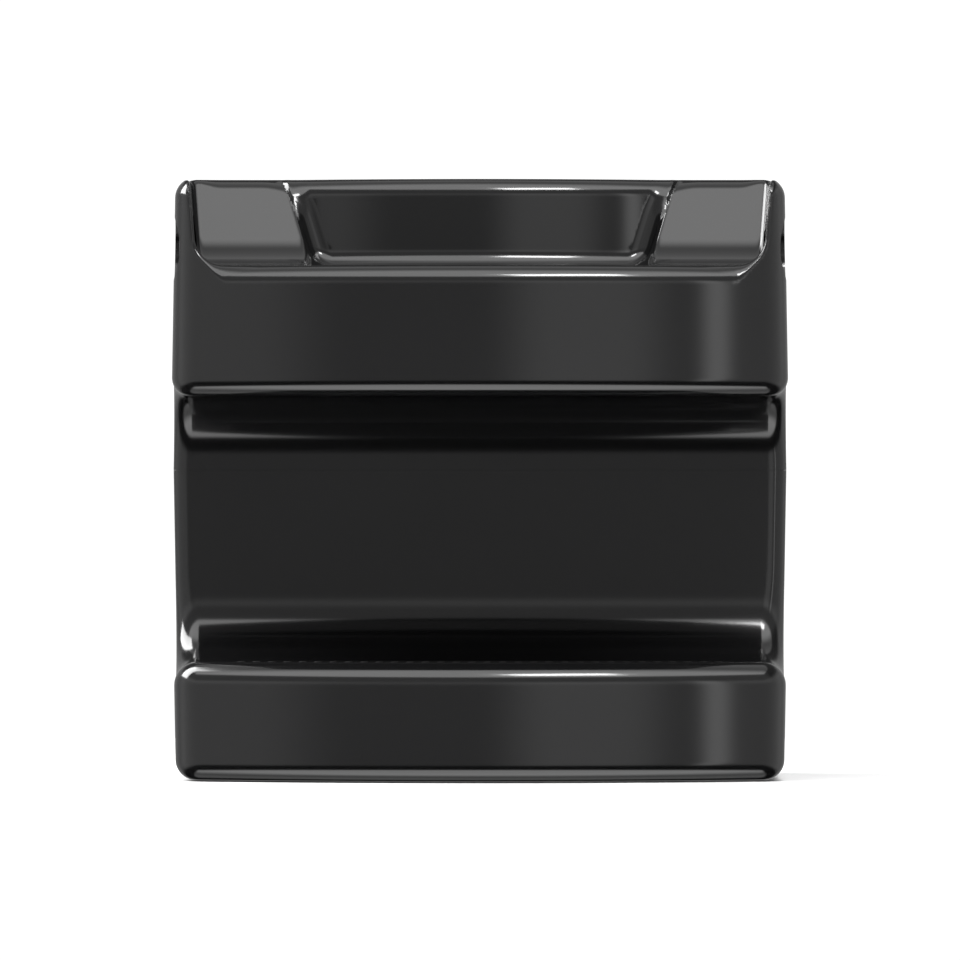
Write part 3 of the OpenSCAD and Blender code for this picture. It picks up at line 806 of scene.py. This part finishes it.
def screw_tree():
    """One screw at each point, each turned by its own share of a full turn."""
    tree = bpy.data.node_groups.new("screws_at_points", "GeometryNodeTree")
    face = tree.interface
    face.new_socket("Geometry", in_out="INPUT", socket_type="NodeSocketGeometry")
    face.new_socket("Screw", in_out="INPUT", socket_type="NodeSocketObject")
    face.new_socket("Turn each", in_out="INPUT", socket_type="NodeSocketFloat")
    face.new_socket("Finish", in_out="INPUT", socket_type="NodeSocketMaterial")
    face.new_socket("Geometry", in_out="OUTPUT", socket_type="NodeSocketGeometry")
    entry = tree.nodes.new("NodeGroupInput")
    leave = tree.nodes.new("NodeGroupOutput")
    screw = tree.nodes.new("GeometryNodeObjectInfo")
    tree.links.new(entry.outputs["Screw"], screw.inputs["Object"])
    count = tree.nodes.new("GeometryNodeInputIndex")
    angle = tree.nodes.new("ShaderNodeMath")
    angle.operation = "MULTIPLY"
    tree.links.new(count.outputs[0], angle.inputs[0])
    tree.links.new(entry.outputs["Turn each"], angle.inputs[1])
    turn_by = tree.nodes.new("ShaderNodeCombineXYZ")
    tree.links.new(angle.outputs[0], turn_by.inputs["Z"])
    spread = tree.nodes.new("GeometryNodeInstanceOnPoints")
    tree.links.new(entry.outputs["Geometry"], spread.inputs["Points"])
    tree.links.new(screw.outputs["Geometry"], spread.inputs["Instance"])
    tree.links.new(turn_by.outputs[0], spread.inputs["Rotation"])
    made = tree.nodes.new("GeometryNodeRealizeInstances")
    tree.links.new(spread.outputs[0], made.inputs[0])
    coated = tree.nodes.new("GeometryNodeSetMaterial")
    tree.links.new(made.outputs[0], coated.inputs["Geometry"])
    tree.links.new(entry.outputs["Finish"], coated.inputs["Material"])
    tree.links.new(coated.outputs[0], leave.inputs[0])
    return tree


screws_at_points = screw_tree()


def screws(name, places, blank):
    """A set of like screws, one at each place, as one plain mesh."""
    mesh = bpy.data.meshes.new(name)
    mesh.from_pydata(places, [], [])
    piece = bpy.data.objects.new(name, mesh)
    bpy.context.collection.objects.link(piece)
    grow(piece, screws_at_points, {"Screw": blank, "Turn each": 0.83, "Finish": plated_steel})
    return piece


screw_low, screw_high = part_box("base_cover_screws")
head = 0.004
shank = 0.002
end_x = 0.0525
side_x = screw_high[0] - head
end_y = (screw_low[1] + head, screw_high[1] - head)
middle_y = sum(end_y) / 2
side_step = (end_y[1] - end_y[0] - cover_lap) * 0.4
cover_places = [(side * side_x, middle_y + move * side_step, screw_low[2])
                for side in (-1, 1) for move in (-1, 0, 1)]
cover_places += [(side * end_x, y, screw_low[2]) for side in (-1, 1) for y in end_y]
cover_blank = screw_blank(head, shank, screw_high[2] - screw_low[2])
cover_screws = screws("cover_screw_set", cover_places, cover_blank)
remove(cover_blank)
keep_piece(cover_screws, "steel", "base_cover_screws")


# ---------------------------------------------------------------- rubber feet and their screws
# Four round rubber pads sit in pockets under the corners, 1 mm proud, with a rounded
# rim. A countersunk screw goes up through the well in the middle of each.

well_radius = 0.005
well_depth = 0.0035
screw_clearance = 0.00205
feet = []
for place in foot_places:
    feet.append(turned("foot_pad", [
        (screw_clearance, well_depth), (well_radius - 0.0004, well_depth),
        (well_radius, well_depth - 0.0004), (well_radius, 0.0006),
        (well_radius + 0.0006, 0.0), (foot_radius - 0.0012, 0.0), (foot_radius - 0.0004, 0.0003),
        (foot_radius, 0.0010), (foot_radius, feet_high[2] - 0.0006), (foot_radius - 0.0006, feet_high[2]),
        (screw_clearance, feet_high[2])], (*place, 0.0), "z", 64))
foot_verts, foot_faces = [], []
for pad in feet:
    start = len(foot_verts)
    foot_verts += [tuple(v.co) for v in pad.data.vertices]
    foot_faces += [tuple(start + v for v in polygon.vertices) for polygon in pad.data.polygons]
    remove(pad)
foot_mesh = bpy.data.meshes.new("foot_pads")
foot_mesh.from_pydata(foot_verts, [], foot_faces)
foot_mesh.shade_smooth()
foot_mesh.set_sharp_from_angle(angle=sharp_angle)
foot_pads = bpy.data.objects.new("foot_pads", foot_mesh)
bpy.context.collection.objects.link(foot_pads)
foot_pads.data.materials.append(soft_rubber)
keep_piece(foot_pads, "feet", "rubber_feet")

screw_sink = 0.0005
foot_screw_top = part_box("foot_screws")[1][2]
foot_blank = screw_blank(head, shank, foot_screw_top - screw_sink)
foot_screw_set = screws("foot_screw_set", [(x, y, screw_sink) for x, y in foot_places], foot_blank)
remove(foot_blank)
keep_piece(foot_screw_set, "steel", "foot_screws")


# ---------------------------------------------------------------- floor, light and camera
# A plain pale floor under a soft studio dome: bright overhead, dim at eye level,
# with one softbox in front to the right and a larger one behind to the left.

floor_radius = 1.6
floor_mesh = bpy.data.meshes.new("floor")
rim = arc((0.0, 0.0), floor_radius, 0, 357.5, 143)
floor_mesh.from_pydata([(x, y, 0.0) for x, y in rim], [], [tuple(range(len(rim)))])
floor = bpy.data.objects.new("floor", floor_mesh)
bpy.context.collection.objects.link(floor)
pale = bpy.data.materials.new("pale_floor")
pale.use_nodes = True
pale_shader = pale.node_tree.nodes["Principled BSDF"]
pale_shader.inputs["Base Color"].default_value = (0.86, 0.86, 0.86, 1)
pale_shader.inputs["Roughness"].default_value = 0.9
floor.data.materials.append(pale)
floor.visible_glossy = False
bpy.context.scene.view_settings.view_transform = "Standard"

world = bpy.data.worlds.new("studio")
bpy.context.scene.world = world
world.use_nodes = True
sky = world.node_tree
sky.nodes.clear()


def sky_node(kind, links=(), **settings):
    """A node of the studio's dome, with its inputs linked or set by position."""
    node = value_node(sky, kind, **settings)
    for place, source in links:
        if isinstance(source, (int, float)):
            node.inputs[place].default_value = source
        else:
            sky.links.new(source, node.inputs[place])
    return node.outputs[0] if node.outputs else node


def both(one, other, operation):
    """The sum or the product of two levels of the dome."""
    return sky_node("ShaderNodeMath", [(0, one), (1, other)], operation=operation)


def smooth_rise(source, start, stop):
    """0 at start, 1 at stop and beyond."""
    return sky_node("ShaderNodeMapRange", [("Value", source), ("From Min", start), ("From Max", stop)],
                    interpolation_type="SMOOTHSTEP")


def soft_panel(source, start, stop, fade, level):
    """One soft panel of the dome: lit from start to stop, and fading out beyond each end."""
    rise = smooth_rise(source, start - fade, start)
    fall = smooth_rise(source, stop + fade, stop)
    return both(both(rise, fall, "MULTIPLY"), level, "MULTIPLY")


def wall_panel(start, stop, fade, level):
    """A soft panel at eye level, between two angles in degrees to the right of the front."""
    return soft_panel(turn, math.radians(start), math.radians(stop), math.radians(fade), level)


way = value_node(sky, "ShaderNodeTexCoord")
split = value_node(sky, "ShaderNodeSeparateXYZ")
sky.links.new(way.outputs["Generated"], split.inputs["Vector"])
up = split.outputs["Z"]
forward = both(split.outputs["Y"], -1.0, "MULTIPLY")
turn = both(split.outputs["X"], forward, "ARCTAN2")
# A bright bank overhead, a bright bounce from the floor and a dim band half way up, all
# stronger in front
overhead = soft_panel(up, 0.78, 1.1, 0.06, 3.6)
bounce = soft_panel(up, -1.1, -0.80, 0.08, 3.6)
half_way = soft_panel(up, 0.40, 0.72, 0.30, 0.5)
in_front = both(soft_panel(forward, 0.2, 1.1, 0.4, 0.8), 0.2, "ADD")
bank = both(both(both(overhead, bounce, "ADD"), half_way, "ADD"), in_front, "MULTIPLY")
# At eye level a dim wall all round, a wide panel each side, one in front and a narrow strip
wall_level = 0.40
ring = both(wall_panel(-110, -45, 20, 0.40), wall_level, "ADD")
for panel in (wall_panel(14, 28, 14, 0.60), wall_panel(46, 48, 3, 2.0), wall_panel(60, 120, 20, 0.25)):
    ring = both(ring, panel, "ADD")
ring = both(ring, soft_panel(up, -0.3, 0.3, 0.2, 1.0), "MULTIPLY")
glow = both(bank, ring, "ADD")
dome = sky_node("ShaderNodeBackground", [("Strength", glow)])
# Behind the block the view shows a plain pale backdrop in place of the dome
backdrop = sky_node("ShaderNodeBackground", [("Strength", 1.1)])
seen = value_node(sky, "ShaderNodeLightPath")
surface = sky_node("ShaderNodeMixShader", [(0, seen.outputs["Is Camera Ray"]), (1, dome), (2, backdrop)])
sky_node("ShaderNodeOutputWorld", [("Surface", surface)])
for node in sky.nodes:
    if node.type == "BACKGROUND":
        node.inputs["Color"].default_value = (1, 1, 1, 1)

middle_z = (base_z + top_z) / 2


def softbox(name, azimuth, elevation, distance, width, height, radiance):
    """Area light aimed at the block, angles in degrees. Azimuth is from the front, to the right."""
    az, el = math.radians(azimuth), math.radians(elevation)
    lamp = bpy.data.lights.new(name, "AREA")
    lamp.shape = "RECTANGLE"
    lamp.size = width
    lamp.size_y = height
    lamp.energy = radiance * math.pi * width * height
    piece = bpy.data.objects.new(name, lamp)
    bpy.context.collection.objects.link(piece)
    piece.visible_camera = False
    piece.location = (distance * math.cos(el) * math.sin(az), -distance * math.cos(el) * math.cos(az),
                      middle_z + distance * math.sin(el))
    piece.rotation_euler = (math.radians(90) - el, 0.0, az)
    return piece


softbox("key_light", azimuth=24, elevation=56, distance=2.6, width=0.80, height=0.44, radiance=28.0)
softbox("side_light", azimuth=-111, elevation=36, distance=2.6, width=1.15, height=2.0, radiance=14.0)

camera_data = bpy.data.cameras.new("camera")
camera = bpy.data.objects.new("camera", camera_data)
bpy.context.collection.objects.link(camera)
camera_distance = 9.93
frame_width = 0.7101
sensor_width = 36.0
camera_data.sensor_width = sensor_width
camera_data.lens = sensor_width * camera_distance / frame_width
camera_data.clip_end = 100.0
camera.location = (0.0, front_y - camera_distance, middle_z - 0.001)
camera.rotation_euler = (math.radians(90.0), 0.0, 0.0)
bpy.context.scene.camera = camera
